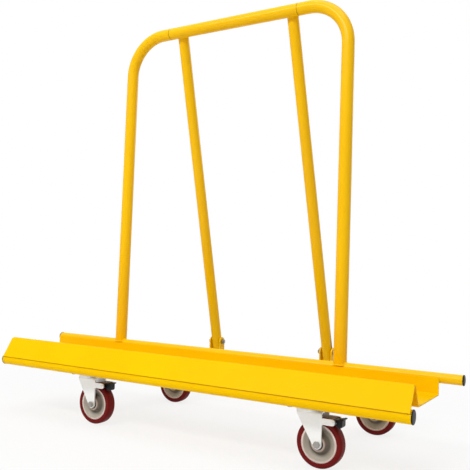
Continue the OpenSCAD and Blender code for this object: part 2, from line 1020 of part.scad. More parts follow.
module core() {
    steps = 2 * arc_steps;
    dish = [for (k = [0 : steps])
        let (r = hub_r + (rim_in_r - hub_r) * k / steps)
        [r, core_half(r)]];
    far_dish = [for (k = [steps : -1 : 0]) [dish[k][0], -dish[k][1]]];
    color(STONE)
        at_wheel()
            rotate([90, 0, 0])
                difference() {
                    rotate_extrude()
                        polygon(concat(
                            [[hub_bore_r, -hub_len / 2], [hub_bore_r, hub_len / 2]],
                            dish,
                            [[core_r, rim_w / 2], [core_r, -rim_w / 2]],
                            far_dish
                        ));
                    for (side = [-1, 1])
                        translate([0, 0, side * (hub_len - bearing_w) / 2])
                            cylinder(d = bearing_d, h = bearing_w, center = true);
                }
}

// Two ball bearings, as closed rings
module bearings() {
    color(STEEL)
        at_wheel()
            for (side = [-1, 1])
                translate([0, side * (hub_len - bearing_w) / 2, 0])
                    along_y(bearing_w)
                        ring(bearing_d, 2 * (sleeve_out_r + run_fit));
}

module brake_pedal() {
    tongue_x = pedal_len - tongue_t / 2;
    shoe_edges = [shoe_back - shoe_r, shoe_back + shoe_r];
    shoe_tops = [for (x = shoe_edges) x * tan(tongue_tilt) + tongue_t / 2];
    color(BLACK)
        translate([pin_x, 0, pin_z])
            difference() {
                union() {
                    along_y(2 * (fork_in - pedal_play))
                        circle(barrel_r);
                    along_y(tongue_w)
                        rotate(tongue_tilt) {
                            square([tongue_x, tongue_t]);
                            translate([tongue_x, tongue_t / 2])
                                circle(d = tongue_t);
                        }
                    along_y(shoe_w) {
                        translate([shoe_back, -shoe_drop])
                            circle(shoe_r);
                        polygon([
                            [shoe_edges[0], -shoe_drop],
                            [shoe_edges[1], -shoe_drop],
                            [shoe_edges[1], shoe_tops[1]],
                            [shoe_edges[0], shoe_tops[0]]
                        ]);
                    }
                }
                rod_y(pin_d / 2 + run_fit, 2 * fork_in);
            }
}

module pedal_pin() {
    head_t = pin_d * thread_over_ratio;
    color(ZINC)
        translate([pin_x, 0, pin_z]) {
            rod_y(pin_d / 2, 2 * fork_out);
            for (side = [-1, 1])
                translate([0, side * (fork_out + head_t / 2), 0])
                    rod_y(pin_d * head_h_ratio, head_t);
        }
}

at_frame() front_rail();
at_frame() rear_rail();
at_frame() base_rail();
at_frame() tray();
at_frame() left_cross_member();
at_frame() right_cross_member();
at_frame() caster_pads();
at_frame() rail_posts();
at_frame() strut_brackets();
at_frame() left_upright();
at_frame() right_upright();
at_frame() top_bar();
at_frame() bar_spigots();
at_frame() foot_spigots();
at_frame() left_strut();
at_frame() right_strut();
at_frame() strut_bolts();
at_frame() strut_nuts();
at_frame() set_bolts();
at_frame() front_rail_caps();
at_frame() rear_rail_caps();
at_frame() base_rail_caps();
at_frame() caster_bolts();
at_frame() caster_nuts();
at_frame() kingpins();
at_frame() swivel_balls();
for (caster = CASTERS) {
    at_frame() at_caster(caster) top_plate();
    at_frame() at_caster(caster) fork();
    at_frame() at_caster(caster) axle();
    at_frame() at_caster(caster) tread();
    at_frame() at_caster(caster) core();
    at_frame() at_caster(caster) bearings();
    at_frame() at_caster(caster) brake_pedal();
    at_frame() at_caster(caster) pedal_pin();
}
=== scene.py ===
"""A panel cart dressed for its pictures: sheet, tubes, wheels, welds and finishes."""

import json
import math

import bmesh
import bpy
from mathutils import Matrix, Vector


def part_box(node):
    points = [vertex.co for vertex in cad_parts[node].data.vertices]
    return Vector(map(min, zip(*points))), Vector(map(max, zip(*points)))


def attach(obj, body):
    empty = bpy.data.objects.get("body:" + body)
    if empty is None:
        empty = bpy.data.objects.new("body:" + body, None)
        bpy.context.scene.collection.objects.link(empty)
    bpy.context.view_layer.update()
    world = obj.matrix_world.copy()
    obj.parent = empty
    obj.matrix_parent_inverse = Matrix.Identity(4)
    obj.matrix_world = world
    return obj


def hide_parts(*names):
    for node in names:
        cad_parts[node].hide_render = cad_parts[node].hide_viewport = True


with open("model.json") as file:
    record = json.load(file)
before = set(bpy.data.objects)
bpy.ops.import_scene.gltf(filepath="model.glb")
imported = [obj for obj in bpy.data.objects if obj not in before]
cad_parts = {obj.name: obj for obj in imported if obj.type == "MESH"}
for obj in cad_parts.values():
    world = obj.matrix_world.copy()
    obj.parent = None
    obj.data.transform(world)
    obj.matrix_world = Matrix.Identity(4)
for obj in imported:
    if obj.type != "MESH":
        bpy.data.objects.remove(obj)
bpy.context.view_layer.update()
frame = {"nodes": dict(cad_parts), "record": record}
scene = bpy.context.scene
scene.view_settings.view_transform = "Standard"

MM = 0.001
CORNERS = ("front_left", "front_right", "rear_left", "rear_right")
ACROSS = Vector((1, 0, 0))
BOLT_NODES = ("axle", "strut_bolts", "strut_nuts", "caster_bolts", "caster_nuts")
# Nodes painted near-black as the shadow in the hub's bore
SHADOWED_NODES = ("bearings",)

# Points that count as one, room left inside the frame's box, and slack in finding a circle
SAME_SPOT = 0.001 * MM
BOX_MARGIN = 0.001 * MM
HOOP_SLACK = 0.01 * MM

# The folded sheet
SHEET_T = 3 * MM
SHEET_BEND_R = 3.5 * MM
SHEET_EDGE_R = 0.6 * MM
LIP_H = 54 * MM
LIP_RUN = 29 * MM
LIP_SETBACK = 22.5 * MM
LIP_FOOT_RISE = 8.8 * MM
WALL_OVERLAP = 3 * MM
RIDGE_END_R = 5 * MM
FOLD_STEPS = 8
END_CUTS = 7

# The tubes
TUBE_SIDES = 64
TUBE_WALL = 2.6 * MM
TUBE_EDGE_R = 0.5 * MM
WELD_GAP = 0.1 * MM
ARCH_BEND_R = 128 * MM
ARCH_BEND_STEPS = 24
UPRIGHT_SEAT = 6 * MM
STRUT_R = 18 * MM
STRUT_FOOT_OUT = 222 * MM
STRUT_TOP_OUT = 208 * MM
STRUT_SETBACK = 23 * MM
STRUT_TAIL = 30 * MM

# The end caps
CAP_SIDES = 48
CAP_PLUG = 12 * MM
CAP_FLANGE_T = 2 * MM
CAP_EDGE_R = 0.7 * MM
CAP_DOME_STEPS = 5
CAP_RING_STEP = 3
CAP_RING_DIP = 0.35 * MM

# The wheels
WHEEL_SIDES = 96
TREAD_CROWN = 0.5 * MM
TREAD_SHOULDER_R = 6 * MM
TREAD_SHOULDER_STEPS = 6
RIM_T = 6 * MM
RIM_HALF = 14.5 * MM
WEB_HALF = 6.5 * MM
HUB_R = 19 * MM
HUB_HALF = 20 * MM
HUB_BORE_R = 14 * MM
DISH_STEPS = 12
WHEEL_EDGE_R = 0.8 * MM

# The pedals
PEDAL_LEN = 28 * MM
TONGUE_T = 4 * MM
TONGUE_W = 26 * MM
TONGUE_TILT = math.radians(14)
RIB_COUNT = 3
RIB_PITCH = 5 * MM
RIB_W = 2 * MM
RIB_H = 0.8 * MM
RIB_MARGIN = 4 * MM

# The weld beads
BEAD_R = 2.1 * MM
BEAD_STEP = 0.7 * MM
BEAD_WAVE = 2.8 * MM
BEAD_RIPPLE = 0.16
BEAD_SIDE_STEPS = 2
STITCH_LEN = 40 * MM
STITCH_MARGIN = 1.5 * STITCH_LEN
STITCH_COUNT = 7
PAD_BEAD_SHARE = 0.42

# Where beads run round the rails, in degrees from a rail's top towards the back
RAIL_BEAD_STEPS = 12
BASE_RAIL_BEAD = (-134, -30)
FRONT_RAIL_BEAD = (42, 150)
BRACKET_BEAD = (-88, 25)
POST_BEAD = (120, 240)
STITCH_ANGLE = -115

# Eased edges
EASE_STEPS = 2
EASE_FROM = math.radians(40)
NODE_EDGE_R = 0.5 * MM
NODE_MERGE = 0.002 * MM
NODE_FLAT_ANGLE = math.radians(0.5)

# The camera, matched to the photograph
CAMERA_AT = (1.08754, -1.79556, 0.51047)
CAMERA_YAW = math.radians(31.44)
CAMERA_PITCH = math.radians(2.68)
CAMERA_ROLL = math.radians(1.62)
CAMERA_LENS = 50.42

# The stage. A soft box has a name, its place, the point that it faces, its size and its watts
SOFT_BOXES = (
    ("front_box", (-0.5, -3.3, 3.0), (0, 0, 0.5), (3.6, 0.5), 94),
    ("top_box", (0.7, -1.1, 5.0), (0, 0, 0.3), (3.4, 3.4), 92),
    ("back_box", (0.8, 3.6, 2.4), (0, 0, 0.5), (3.0, 2.0), 36),
)
WHITE = (1, 1, 1, 1)
FLOOR_GREY = (0.85, 0.85, 0.85, 1)
FLOOR_ROUGHNESS = 0.8
FLOOR_HALF = 30.0
FLOOR_WHITE_NEAR = 0.8
FLOOR_WHITE_FROM = 0.9
FLOOR_WHITE_TO = 2.2
WORLD_LIGHT = 0.36
RAYS = ("Is Camera", "Is Glossy", "Is Transmission")


class Shade:
    """A shader value: arithmetic on it adds Math nodes, and node() adds any other node."""

    def __init__(self, tree, socket=None):
        self.tree = tree
        self.socket = socket

    def node(self, kind, settings=None, values=None, out=0):
        made = self.tree.nodes.new(kind)
        for name, value in (settings or {}).items():
            if name == "stops":
                self.set_stops(made.color_ramp.elements, value)
            else:
                setattr(made, name, value)
        for name, value in (values or {}).items():
            if isinstance(value, Shade):
                self.tree.links.new(value.socket, made.inputs[name])
            else:
                made.inputs[name].default_value = value
        return Shade(self.tree, made.outputs[out])

    @staticmethod
    def set_stops(elements, stops):
        while len(elements) < len(stops):
            elements.new(1)
        for element, (place, colour) in zip(elements, stops):
            element.position = place
            element.color = colour

    def math(self, operation, *values):
        return self.node("ShaderNodeMath", {"operation": operation}, dict(enumerate(values)))

    def __add__(self, other):
        return self.math("ADD", self, other)

    __radd__ = __add__

    def __sub__(self, other):
        return self.math("SUBTRACT", self, other)

    def __rsub__(self, other):
        return self.math("SUBTRACT", other, self)

    def __mul__(self, other):
        return self.math("MULTIPLY", self, other)

    __rmul__ = __mul__

    def __truediv__(self, other):
        return self.math("DIVIDE", self, other)

    def __rtruediv__(self, other):
        return self.math("DIVIDE", other, self)


# Shader helpers


def noise(start, place, scale, detail):
    values = {"Vector": place, "Scale": scale, "Detail": detail}
    return start.node("ShaderNodeTexNoise", values=values)


def stretched(start, place, scale):
    return start.node("ShaderNodeMapping", values={"Vector": place, "Scale": scale})


def between(value, low, high):
    """0 below low, 1 above high, and smooth from one to the other."""
    settings = {"interpolation_type": "SMOOTHSTEP"}
    values = {"Value": value, "From Min": low, "From Max": high}
    return value.node("ShaderNodeMapRange", settings, values)


def blend(factor, first, second):
    settings = {"data_type": "RGBA"}
    return factor.node("ShaderNodeMix", settings, {0: factor, 6: first, 7: second}, out=2)


def new_finish(name, even):
    """A material, its shader with what is even all over, and a start for its nodes."""
    made = bpy.data.materials.new(name)
    made.use_nodes = True
    shader = made.node_tree.nodes["Principled BSDF"]
    for socket, value in even.items():
        shader.inputs[socket].default_value = value
    return made, shader, Shade(made.node_tree)


def feed(shader, values):
    for socket, value in values.items():
        value.tree.links.new(value.socket, shader.inputs[socket])


def bumped(height, strength, distance):
    values = {"Height": height, "Strength": strength, "Distance": distance}
    return height.node("ShaderNodeBump", values=values)


# Places on the frame


def middle(node):
    low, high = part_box(node)
    return (low + high) / 2


def extent(node):
    low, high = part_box(node)
    return high - low


FRONT_RAIL = middle("front_rail")
REAR_RAIL = middle("rear_rail")
BASE_RAIL = middle("base_rail")
TOP_BAR = middle("top_bar")
MID_X = middle("tray").x
TUBE_R = extent("front_rail").z / 2
ARCH_R = extent("top_bar").z / 2
RAIL_R = extent("rear_rail").z / 2
BEAM_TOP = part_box("left_cross_member")[1].z
BEAM_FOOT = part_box("left_cross_member")[0].z
BEAM_OUT = middle("right_cross_member").x - MID_X
BEAM_HALF = extent("right_cross_member").x / 2
LEG_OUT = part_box("right_upright")[1].x - ARCH_R - MID_X
JOINT_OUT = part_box("right_upright")[0].x - MID_X
STRUT_FOOT = middle("strut_bolts")
LIP_FOOT_Z = FRONT_RAIL.z + LIP_FOOT_RISE


def lip_touch(corner):
    """The way across and up from a corner to the front rail, which the lip lies along."""
    reach = TUBE_R + WELD_GAP + SHEET_T / 2
    to_rail = Vector((FRONT_RAIL.y, FRONT_RAIL.z)) - corner
    turn = Matrix.Rotation(-math.asin(reach / to_rail.length), 2)
    return turn @ to_rail.normalized() * math.sqrt(to_rail.length_squared - reach * reach)


def sheet_line():
    """The middle of the folded sheet, across and up, from the lip's foot to the wall's top."""
    deck_z = BEAM_TOP + SHEET_T / 2
    wall_y = REAR_RAIL.y - RAIL_R - WELD_GAP - SHEET_T / 2
    top = Vector((FRONT_RAIL.y + LIP_SETBACK, BEAM_TOP + SHEET_T + LIP_H))
    deck_front = Vector((top.x + LIP_RUN, deck_z))
    half_angle = lip_touch(top).angle(deck_front - top) / 2
    above = SHEET_BEND_R / math.sin(half_angle) - SHEET_BEND_R - SHEET_T / 2
    ridge = top + Vector((0, above))
    wall_top = Vector((wall_y, REAR_RAIL.z + WALL_OVERLAP))
    return [ridge + lip_touch(ridge), ridge, deck_front, Vector((wall_y, deck_z)), wall_top]


# Finishes

YELLOW = (0.94, 0.575, 0.001, 1)
YELLOW_DEEP = (0.92, 0.53, 0.001, 1)
# A darker copy of the same yellow: painted shade on the arch, which stands nearer the lamps, so it
# renders no brighter than the tray
YELLOW_ARCH_SHADE = (0.87, 0.485, 0.0005, 1)
YELLOW_RUBBED = (0.84, 0.50, 0.008, 1)
# Deeper orange painted inside the folded lip as that hollow's shade and yellow bounce light
YELLOW_HOLLOW_SHADE = (0.98, 0.49, 0.001, 1)
# Dark brown painted into the yellow as the shadow line along the lip's edge and at the bar's
# joints
SEAM_PAINTED_SHADOW = (0.10, 0.045, 0.002, 1)
LIGHT_TONES = (YELLOW, YELLOW_DEEP)
ARCH_SHADE_TONES = (YELLOW_DEEP, YELLOW_ARCH_SHADE)
ZINC_DULL = (0.88, 0.90, 0.895, 1)
ZINC_BRIGHT = (0.975, 0.985, 0.98, 1)
STEEL_TONES = ((0.36, 0.35, 0.34, 1), (0.62, 0.62, 0.61, 1))
# Darker steel for bolts, nuts and axles: painted shade standing in for the shadowed recesses of
# their heads
BOLT_SHADE_TONES = ((0.20, 0.19, 0.17, 1), (0.50, 0.48, 0.44, 1))
# Near-black steel for the bearings: painted shadow in the hub's bore, round the fork's eye
SEAL_SHADOW_TONES = ((0.015, 0.015, 0.015, 1), (0.05, 0.05, 0.05, 1))
CAP_BLACK = (0.020, 0.020, 0.024, 1)
CAP_GREY = (0.042, 0.041, 0.048, 1)
# Painted shade: the caps' outer edge, which falls in shadow, painted darker
CAP_RIM_SHADE = (0.006, 0.006, 0.007, 1)
PEDAL_BLACK = (0.010, 0.010, 0.011, 1)
PEDAL_WORN = (0.07, 0.07, 0.07, 1)
MAROON_DEEP = (0.125, 0.005, 0.005, 1)
MAROON = (0.195, 0.009, 0.008, 1)
TREAD_DUST = (0.17, 0.030, 0.026, 1)
CORE_STAIN = (0.16, 0.13, 0.095, 1)

# The core's bands, from its bore out: share of its radius, and colour. The dark bands at the bore
# and in the inner dish are painted shadow of the fork and hub, and the near-white band at the rim
# is a painted highlight
CORE_TONES_AND_SHADE = (
    # painted shadow in the bore, round the fork's eye
    (0.285, (0.05, 0.042, 0.036, 1)),
    (0.315, (0.58, 0.47, 0.41, 1)),
    (0.38, (0.50, 0.41, 0.35, 1)),
    # painted shade darkening the inner dish
    (0.42, (0.16, 0.125, 0.095, 1)),
    (0.56, (0.085, 0.068, 0.052, 1)),
    (0.66, (0.32, 0.285, 0.23, 1)),
    (0.80, (0.51, 0.465, 0.39, 1)),
    (0.905, (0.60, 0.53, 0.46, 1)),
    # painted highlight along the rim's edge
    (0.925, (1.0, 0.88, 0.82, 1)),
)

# The wheel's zones, in millimetres from its axle
CORE_REACH = 49.5
RUNNING_FACE = (61.5, 63.3)

# The painted shadow lines' soft edges, measured from the lip's foot or the bar's joint, and their
# depths
LIP_SHADOW_FOOT = (-1.7 * MM, -0.9 * MM)
LIP_SHADOW_HEAD = (1.2 * MM, 1.6 * MM)
BAR_JOINT_SHADE = (0.5 * MM, 1.1 * MM)
LIP_SHADOW_DEPTH = 0.5
PAINTED_SHADOW_DEPTH = 0.85


def part_of(start, place, axis):
    return start.node("ShaderNodeSeparateXYZ", values={0: place}, out=axis)


def lip_edge_shadow(start, place):
    """How strong the painted shadow is on the front rail just under the lip's edge, and on that
    edge.
    """
    up = part_of(start, place, "Z")
    across = part_of(start, place, "Y")
    ahead = 1 - between(across, FRONT_RAIL.y - TUBE_R / 2, FRONT_RAIL.y - TUBE_R / 4)
    over_foot = between(up, *(LIP_FOOT_Z + edge for edge in LIP_SHADOW_FOOT))
    over_head = between(up, *(LIP_FOOT_Z + edge for edge in LIP_SHADOW_HEAD))
    return over_foot * (1 - over_head) * ahead * LIP_SHADOW_DEPTH


def lip_hollow_shade(start, place):
    """1 on the two faces inside the folded lip, which get a painted shade of deeper orange."""
    lip_foot, ridge, deck_front = sheet_line()[:3]
    across = part_of(start, place, "Y") - ridge.x
    up = part_of(start, place, "Z") - ridge.y

    def inside(down, turn):
        inwards = Vector((-down.y, down.x)).normalized() * turn
        return between(across * inwards.x + up * inwards.y, SHEET_T / 8, SHEET_T / 3)

    return inside(lip_foot - ridge, 1) * inside(deck_front - ridge, -1)


def bar_joint_shade(start, place):
    """1 at the two joints of the top bar, where a painted shade line stands for the shadow in the
    joint's groove.
    """
    out = start.math("ABSOLUTE", part_of(start, place, "X") - MID_X)
    off = start.math("ABSOLUTE", out - JOINT_OUT)
    return 1 - between(off, *BAR_JOINT_SHADE)


def yellow_paint(name, tones, rubbed, gloss, painted_shadow=None, hollow_shade=None):
    """Powder coat: drift in tone, orange peel, rub lines where sheets slide, painted shadow lines
    at seams, and painted shade in the lip's hollow.
    """
    even = {"Coat Weight": gloss, "Coat Roughness": 0.2, "Specular IOR Level": 0.02 + gloss / 10}
    made, shader, start = new_finish(name, even)
    place = start.node("ShaderNodeTexCoord", out="Object")
    drift = between(noise(start, place, scale=3.0, detail=3.0), 0.35, 0.65)
    mottle = noise(start, place, scale=38.0, detail=3.0)
    peel = noise(start, place, scale=520.0, detail=1.0)
    fine_peel = noise(start, place, scale=1400.0, detail=0.0)
    streaks = noise(start, stretched(start, place, (9, 240, 240)), scale=1.0, detail=2.0)
    lines = between(streaks, 0.60, 0.72)
    patches = between(noise(start, place, scale=7.0, detail=2.0), 0.45, 0.62)
    rub = lines * patches * rubbed
    skin = peel + fine_peel * 0.3 + mottle * 0.6
    colour = blend(drift * 0.7 + mottle * 0.3, *tones)
    colour = blend(rub, colour, YELLOW_RUBBED)
    # Painted shade: the faces inside the lip's hollow turn deeper orange
    if hollow_shade:
        colour = blend(hollow_shade(start, place), colour, YELLOW_HOLLOW_SHADE)
    # Painted shadow: the seam lines are darkened towards the shadow colour
    if painted_shadow:
        colour = blend(painted_shadow(start, place) * PAINTED_SHADOW_DEPTH, colour, SEAM_PAINTED_SHADOW)
    feed(
        shader,
        {
            "Base Color": colour,
            "Roughness": 0.25 + drift * 0.05 + mottle * 0.08 + rub * 0.15,
            "Normal": bumped(skin, strength=0.06, distance=0.5 * MM),
        },
    )
    return made


def zinc():
    """Bright zinc plate: pale, with faint spangle and drawing lines."""
    made, shader, start = new_finish("zinc", {"Metallic": 0.45})
    place = start.node("ShaderNodeTexCoord", out="Object")
    grid = {"Vector": place, "Scale": 210.0}
    cells = start.node("ShaderNodeTexVoronoi", values=grid, out="Color")
    spangle = start.node("ShaderNodeSeparateColor", values={"Color": cells})
    lines = noise(start, stretched(start, place, (900, 900, 40)), scale=1.0, detail=2.0)
    haze = noise(start, place, scale=26.0, detail=3.0)
    tone = spangle * 0.25 + lines * 0.25 + haze * 0.5
    feed(
        shader,
        {
            "Base Color": blend(tone, ZINC_DULL, ZINC_BRIGHT),
            "Roughness": 0.28 + spangle * 0.06 + haze * 0.2,
            "Normal": bumped(lines + haze, strength=0.06, distance=0.3 * MM),
        },
    )
    return made


def bare_steel(name, dull, bright):
    """Machined steel with an oily, cloudy tone."""
    made, shader, start = new_finish(name, {"Metallic": 1.0})
    place = start.node("ShaderNodeTexCoord", out="Object")
    cloud = noise(start, place, scale=70.0, detail=4.0)
    lines = noise(start, stretched(start, place, (60, 60, 1200)), scale=1.0, detail=1.0)
    feed(
        shader,
        {
            "Base Color": blend(cloud, dull, bright),
            "Roughness": 0.22 + cloud * 0.2 + lines * 0.08,
            "Normal": bumped(lines, strength=0.08, distance=0.2 * MM),
        },
    )
    return made


def black_plastic():
    """Moulded cap plastic with a fine spark-eroded grain, and painted shade darkening its outer
    edge.
    """
    made, shader, start = new_finish("black_plastic", {"Specular IOR Level": 0.18})
    place = start.node("ShaderNodeTexCoord", out="Object")
    grain = noise(start, place, scale=1700.0, detail=1.0)
    cloud = noise(start, place, scale=60.0, detail=3.0)
    held = start.node("ShaderNodeAttribute", {"attribute_name": "to_edge"}, out="Fac")
    face = blend(cloud, CAP_BLACK, CAP_GREY)
    feed(
        shader,
        {
            # painted shade towards the cap's outer edge
            "Base Color": blend(between(held, 0.72, 0.90), face, CAP_RIM_SHADE),
            "Roughness": 0.38 + cloud * 0.14,
            "Normal": bumped(grain, strength=0.25, distance=0.15 * MM),
        },
    )
    return made


def black_pedal():
    """Stoved black paint, greyed in small patches by shoes."""
    made, shader, start = new_finish("black_pedal", {"Specular IOR Level": 0.2})
    place = start.node("ShaderNodeTexCoord", out="Object")
    cloud = noise(start, place, scale=90.0, detail=3.0)
    worn = between(noise(start, place, scale=160.0, detail=4.0), 0.60, 0.72)
    feed(
        shader,
        {
            "Base Color": blend(worn * 0.5, PEDAL_BLACK, PEDAL_WORN),
            "Roughness": 0.30 + cloud * 0.15 + worn * 0.2,
            "Normal": bumped(cloud, strength=0.08, distance=0.3 * MM),
        },
    )
    return made


def from_axle(start):
    """Distance of a wheel's surface from its axle, in millimetres."""
    held = start.node("ShaderNodeAttribute", {"attribute_name": "from_axle"}, out="Fac")
    return held / MM


def ring_noise(start, out_r, scale):
    """Noise that changes only with the distance from the axle."""
    settings = {"noise_dimensions": "1D"}
    return start.node("ShaderNodeTexNoise", settings, {"W": out_r, "Scale": scale})


def maroon_tread():
    """Cast polyurethane: clear depth, faint lathe rings on the flanks and a dusty running face."""
    even = {"Specular IOR Level": 0.05, "Coat Roughness": 0.15}
    made, shader, start = new_finish("maroon_tread", even)
    place = start.node("ShaderNodeTexCoord", out="Object")
    out_r = from_axle(start)
    rings = ring_noise(start, out_r, scale=1.6)
    cloud = noise(start, place, scale=45.0, detail=3.0)
    specks = between(noise(start, place, scale=420.0, detail=2.0), 0.58, 0.70)
    running = between(out_r, *RUNNING_FACE)
    dust = running * (0.25 + cloud * 0.5) + specks * 0.12
    deep = blend(cloud * 0.6 + rings * 0.4, MAROON_DEEP, MAROON)
    feed(
        shader,
        {
            "Base Color": blend(dust * 0.5, deep, TREAD_DUST),
            "Roughness": 0.26 + rings * 0.08 + dust * 0.35,
            "Coat Weight": 0.10 - running * 0.06,
            "Normal": bumped(rings * 0.6 + specks * running, strength=0.15, distance=0.3 * MM),
        },
    )
    return made


def wheel_core():
    """Moulded core: a stone-grey dish and a paler hub, with painted shade that darkens the dish
    inwards and a painted highlight line at the rim.
    """
    made, shader, start = new_finish("wheel_core", {"Specular IOR Level": 0.5})
    place = start.node("ShaderNodeTexCoord", out="Object")
    out_r = from_axle(start)
    cloud = noise(start, place, scale=60.0, detail=4.0)
    flow = ring_noise(start, out_r, scale=0.9)
    share = {"Fac": out_r / CORE_REACH}
    tones_and_shade = start.node("ShaderNodeValToRGB", {"stops": CORE_TONES_AND_SHADE}, share)
    feed(
        shader,
        {
            "Base Color": blend(cloud * 0.2 + flow * 0.15, tones_and_shade, CORE_STAIN),
            "Roughness": 0.34 + cloud * 0.2,
            "Normal": bumped(flow + cloud * 0.5, strength=0.12, distance=0.3 * MM),
        },
    )
    return made


FINISHES = {
    "yellow_paint": yellow_paint("yellow_paint", LIGHT_TONES, rubbed=0.25, gloss=0.26),
    "zinc": zinc(),
    "bare_steel": bare_steel("bare_steel", *STEEL_TONES),
    "black_plastic": black_plastic(),
    "black_pedal": black_pedal(),
    "maroon_tread": maroon_tread(),
    "wheel_core": wheel_core(),
}
# The tray and the front rail carry the painted shadow line under the lip's edge, and the tray also
# the painted shade in the lip's hollow
TRAY_PAINT = yellow_paint(
    "tray_paint", LIGHT_TONES, rubbed=0.7, gloss=0.01, painted_shadow=lip_edge_shadow, hollow_shade=lip_hollow_shade
)
RAIL_PAINT = yellow_paint("rail_paint", LIGHT_TONES, rubbed=0.25, gloss=0.01, painted_shadow=lip_edge_shadow)
# The arch's tubes get the darker, shaded copy of the yellow as painted shade, plus a painted shade
# line at the bar's joints
ARCH_SHADED_PAINT = yellow_paint("arch_shaded_paint", ARCH_SHADE_TONES, rubbed=0.15, gloss=0.22, painted_shadow=bar_joint_shade)
BOLT_SHADE_STEEL = bare_steel("bolt_shade_steel", *BOLT_SHADE_TONES)
SEAL_SHADOW_STEEL = bare_steel("seal_shadow_steel", *SEAL_SHADOW_TONES)


# Modelling helpers


def verts_in(geom):
    return [g for g in geom if isinstance(g, bmesh.types.BMVert)]


def edges_in(geom):
    return [g for g in geom if isinstance(g, bmesh.types.BMEdge)]


def rounded(bm, edges, width, segments=3):
    bmesh.ops.bevel(
        bm,
        geom=edges,
        offset=width,
        offset_type="OFFSET",
        segments=segments,
        profile=0.5,
        affect="EDGES",
        material=-1,
    )


def add_piece(name, bm, slot, body="cart", stands_for=(), finish=None):
    """Makes a piece of a closed or single-walled bmesh, in place, and lets it ride on a body."""
    bmesh.ops.remove_doubles(bm, verts=bm.verts, dist=SAME_SPOT)
    bmesh.ops.recalc_face_normals(bm, faces=bm.faces)
    mesh = bpy.data.meshes.new(name)
    bm.to_mesh(mesh)
    bm.free()
    mesh.shade_smooth()
    mesh.materials.append(finish or FINISHES[slot])
    made = bpy.data.objects.new(name, mesh)
    scene.collection.objects.link(made)
    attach(made, body)
    if stands_for:
        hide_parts(*stands_for)
    return made


def thicken(piece, wall, offset):
    """Gives a single-walled piece its thickness: offset 0 to both sides, -1 inwards."""
    made = piece.modifiers.new("wall", "SOLIDIFY")
    made.thickness = wall
    made.offset = offset
    made.use_even_offset = True


def ease_edges(piece, width):
    made = piece.modifiers.new("eased", "BEVEL")
    made.width = width
    made.segments = EASE_STEPS
    made.limit_method = "ANGLE"
    made.angle_limit = EASE_FROM
    even = piece.modifiers.new("even", "WEIGHTED_NORMAL")
    even.keep_sharp = True


def start_ring(bm, at, along, radius):
    turn = Vector((0, 0, 1)).rotation_difference(along).to_matrix().to_4x4()
    place = Matrix.Translation(at) @ turn
    made = bmesh.ops.create_circle(bm, segments=TUBE_SIDES, radius=radius, matrix=place)
    return list(dict.fromkeys(e for v in made["verts"] for e in v.link_edges))


def run_on(bm, ring, step):
    made = bmesh.ops.extrude_edge_only(bm, edges=ring)["geom"]
    ends = verts_in(made)
    bmesh.ops.translate(bm, verts=ends, vec=step)
    moved = set(ends)
    return [e for e in edges_in(made) if moved.issuperset(e.verts)]


def bend_on(bm, ring, centre, axis, angle):
    made = bmesh.ops.spin(
        bm,
        geom=ring,
        cent=centre,
        axis=axis,
        angle=angle,
        steps=ARCH_BEND_STEPS,
    )
    return edges_in(made["geom_last"])


def ring_verts(ring):
    return list(dict.fromkeys(v for e in ring for v in e.verts))


def spun(bm, profile, centre, axis, sides):
    """Turns an open or closed line of points into a round body."""
    line = [bm.verts.new(p) for p in profile]
    edges = [bm.edges.new(pair) for pair in zip(line, line[1:])]
    bmesh.ops.spin(
        bm,
        geom=line + edges,
        cent=centre,
        axis=axis,
        angle=math.tau,
        steps=sides,
        use_merge=True,
    )
    bmesh.ops.remove_doubles(bm, verts=bm.verts, dist=SAME_SPOT)


def hoops_at(bm, centre, axis, radius, along):
    """The edges of the circles of that radius, at that distance along the axis to either side."""
    found = []
    for edge in bm.edges:
        spots = [v.co - centre for v in edge.verts]
        down = [abs(abs(s.dot(axis)) - along) for s in spots]
        out = [abs((s - axis * s.dot(axis)).length - radius) for s in spots]
        if max(down + out) < HOOP_SLACK:
            found.append(edge)
    return found


# The tray


def make_tray():
    half = extent("tray").x / 2
    bm = bmesh.new()
    line = [bm.verts.new((MID_X - half, p.x, p.y)) for p in sheet_line()]
    edges = [bm.edges.new(pair) for pair in zip(line, line[1:])]
    run_on(bm, edges, ACROSS * 2 * half)
    for fold in [e for e in bm.edges if len(e.link_faces) == 2]:
        rounded(bm, [fold], SHEET_BEND_R * math.tan(fold.calc_face_angle() / 2), FOLD_STEPS)
    round_ridge_ends(bm, half)
    made = add_piece("tray_sheet", bm, "yellow_paint", stands_for=["tray"], finish=TRAY_PAINT)
    thicken(made, SHEET_T, 0)
    ease_edges(made, SHEET_EDGE_R)


def round_ridge_ends(bm, half):
    top = max(v.co.z for v in bm.verts)
    for end in (-1, 1):
        for k in range(1, END_CUTS):
            angle = math.radians(90) * k / END_CUTS
            facing = Vector((end * math.cos(angle), 0, math.sin(angle)))
            centre = Vector((MID_X + end * (half - RIDGE_END_R), 0, top - RIDGE_END_R))
            bmesh.ops.bisect_plane(
                bm,
                geom=bm.verts[:] + bm.edges[:] + bm.faces[:],
                plane_co=centre + facing * RIDGE_END_R,
                plane_no=facing,
                clear_outer=True,
            )


# The tubes


def finish_tube(name, bm, node, paint):
    made = add_piece(name, bm, "yellow_paint", stands_for=[node], finish=paint)
    thicken(made, TUBE_WALL, -1)
    ease_edges(made, TUBE_EDGE_R)


def make_straight_tube(node, paint):
    low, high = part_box(node)
    at = (low + high) / 2
    bm = bmesh.new()
    ring = start_ring(bm, Vector((low.x, at.y, at.z)), ACROSS, extent(node).z / 2)
    run_on(bm, ring, ACROSS * (high.x - low.x))
    finish_tube(node + "_tube", bm, node, paint)


def arch_direction():
    rise = TOP_BAR - REAR_RAIL
    return Vector((0, rise.y, rise.z))


